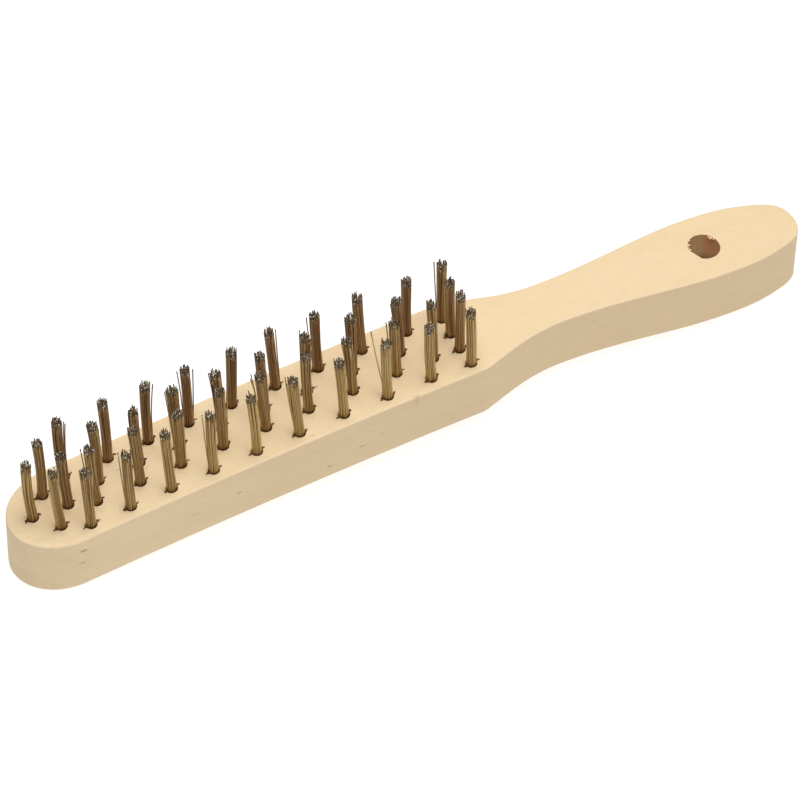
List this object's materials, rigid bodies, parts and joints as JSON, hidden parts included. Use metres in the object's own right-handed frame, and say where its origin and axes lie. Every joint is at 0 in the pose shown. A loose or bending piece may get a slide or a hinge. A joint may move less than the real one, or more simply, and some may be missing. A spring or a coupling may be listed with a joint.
{
  "type": "wire scratch brush",
  "caption": "Hand wire scratch brush with a bowed wooden head and waisted handle, round nose, slanted rows of wire tufts and a hanging hole.",
  "frame": {"origin": "middle of the length and width, at the height of the table that the brush lies on, back down", "axes": "+X from the round nose to the heel of the handle, +Y across the brush, +Z out of the bristle face"},
  "size_m": [0.29, 0.032, 0.0571],
  "materials": {
    "wood": "raw, sanded, pale hardwood",
    "wire": "drawn steel wire with a thin brass coat, cut ends bare",
    "anchor_wire": "flat drawn wire, bare"
  },
  "bodies": {
    "root": {"anchors_end": "anchor_wire", "anchors_nose": "anchor_wire", "anchors_row1": "anchor_wire", "anchors_row2": "anchor_wire", "anchors_row3": "anchor_wire", "anchors_row4": "anchor_wire", "tuft_end_1": "wire", "tuft_end_2": "wire", "tuft_end_3": "wire", "tuft_end_4": "wire", "tuft_nose_1": "wire", "tuft_nose_2": "wire", "tuft_nose_3": "wire", "tuft_nose_4": "wire", "tuft_nose_5": "wire", "tuft_row1_1": "wire", "tuft_row1_2": "wire", "tuft_row1_3": "wire", "tuft_row1_4": "wire", "tuft_row1_5": "wire", "tuft_row1_6": "wire", "tuft_row1_7": "wire", "tuft_row1_8": "wire", "tuft_row1_9": "wire", "tuft_row2_1": "wire", "tuft_row2_2": "wire", "tuft_row2_3": "wire", "tuft_row2_4": "wire", "tuft_row2_5": "wire", "tuft_row2_6": "wire", "tuft_row2_7": "wire", "tuft_row2_8": "wire", "tuft_row2_9": "wire", "tuft_row3_1": "wire", "tuft_row3_2": "wire", "tuft_row3_3": "wire", "tuft_row3_4": "wire", "tuft_row3_5": "wire", "tuft_row3_6": "wire", "tuft_row3_7": "wire", "tuft_row3_8": "wire", "tuft_row4_1": "wire", "tuft_row4_2": "wire", "tuft_row4_3": "wire", "tuft_row4_4": "wire", "tuft_row4_5": "wire", "tuft_row4_6": "wire", "tuft_row4_7": "wire", "tuft_row4_8": "wire", "wooden_body": "wood"}
  },
  "joints": []
}
